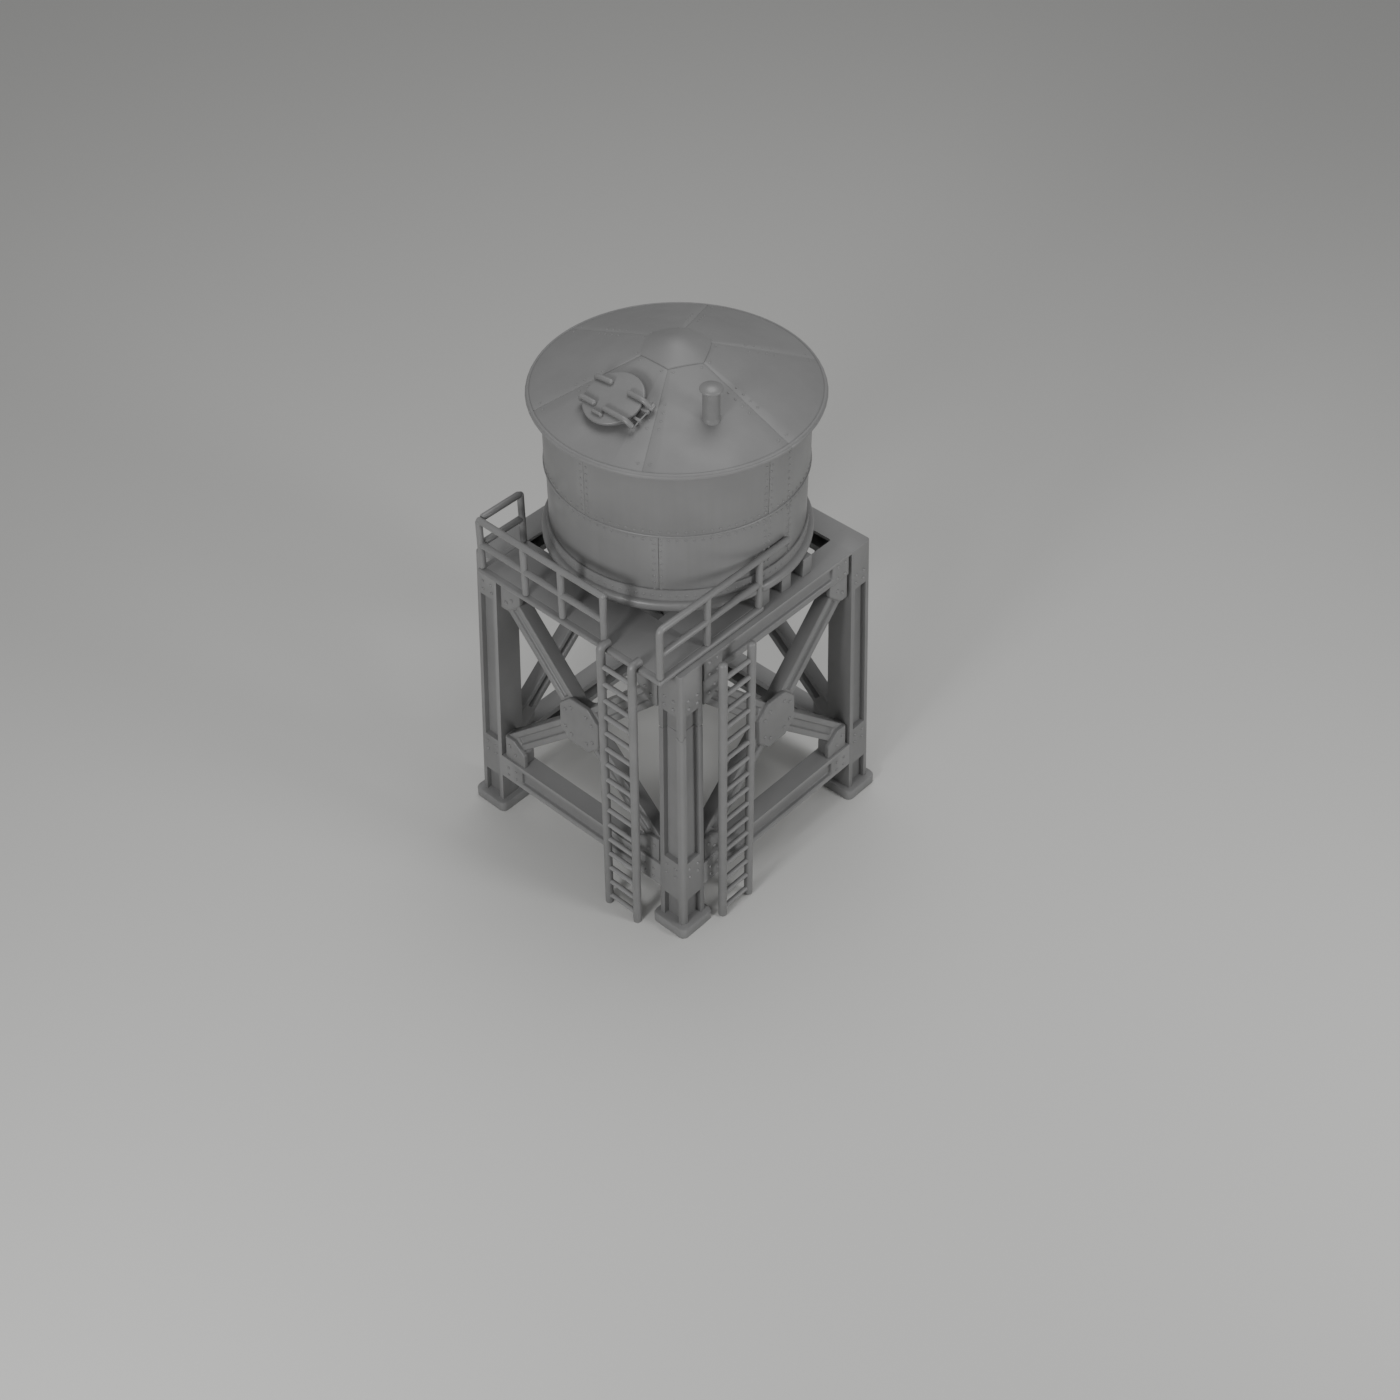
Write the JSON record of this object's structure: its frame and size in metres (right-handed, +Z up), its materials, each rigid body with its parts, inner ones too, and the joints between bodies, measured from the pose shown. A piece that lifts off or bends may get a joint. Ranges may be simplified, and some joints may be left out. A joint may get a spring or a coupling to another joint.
{
  "type": "water tower",
  "caption": "Riveted steel water tower: a round tank with a low cone roof on a battered, cross-braced square frame, with a deck, railings, ladders, a roof hatch and a vent.",
  "frame": {"origin": "on the ground, at the middle of the footprint, ladders included", "axes": "+Z up; -Y is the front, with the railed deck and one ladder; +X is the side with the second ladder"},
  "size_m": [4.5378, 4.6228, 8.2497],
  "materials": {
    "frame": "satin",
    "plate": "satin",
    "fittings": "satin",
    "footing": "satin"
  },
  "bodies": {
    "tower": {"base_ring": "plate", "brace_back": "frame", "brace_front": "frame", "brace_left": "frame", "brace_right": "frame", "deck_front": "frame", "deck_side": "frame", "footing_back_left": "footing", "footing_back_right": "footing", "footing_front_left": "footing", "footing_front_right": "footing", "hatch_neck": "fittings", "joist_1": "frame", "joist_2": "frame", "joist_3": "frame", "joist_4": "frame", "ladder_front": "fittings", "ladder_side": "fittings", "leg_back_left": "frame", "leg_back_right": "frame", "leg_front_left": "frame", "leg_front_right": "frame", "lower_beam_back": "frame", "lower_beam_front": "frame", "lower_beam_left": "frame", "lower_beam_right": "frame", "railing_end": "fittings", "railing_front": "fittings", "railing_side": "fittings", "roof_cap": "plate", "roof_plate_1": "plate", "roof_plate_2": "plate", "roof_plate_3": "plate", "roof_plate_4": "plate", "roof_plate_5": "plate", "roof_plate_6": "plate", "tank_floor": "plate", "top_beam_back": "frame", "top_beam_front": "frame", "top_beam_left": "frame", "top_beam_right": "frame", "vent_pipe": "fittings", "wall_lower_1": "plate", "wall_lower_2": "plate", "wall_lower_3": "plate", "wall_upper_1": "plate", "wall_upper_2": "plate", "wall_upper_3": "plate"},
    "hatch": {"hatch_lid": "fittings"}
  },
  "joints": [
    {"name": "hatch_hinge", "type": "hinge", "parent": "tower", "child": "hatch", "pos_m": [0.42918, -0.93259, 7.81043], "axis": [0, 0.9354, 0.3536], "range_deg": [0, 110]}
  ]
}
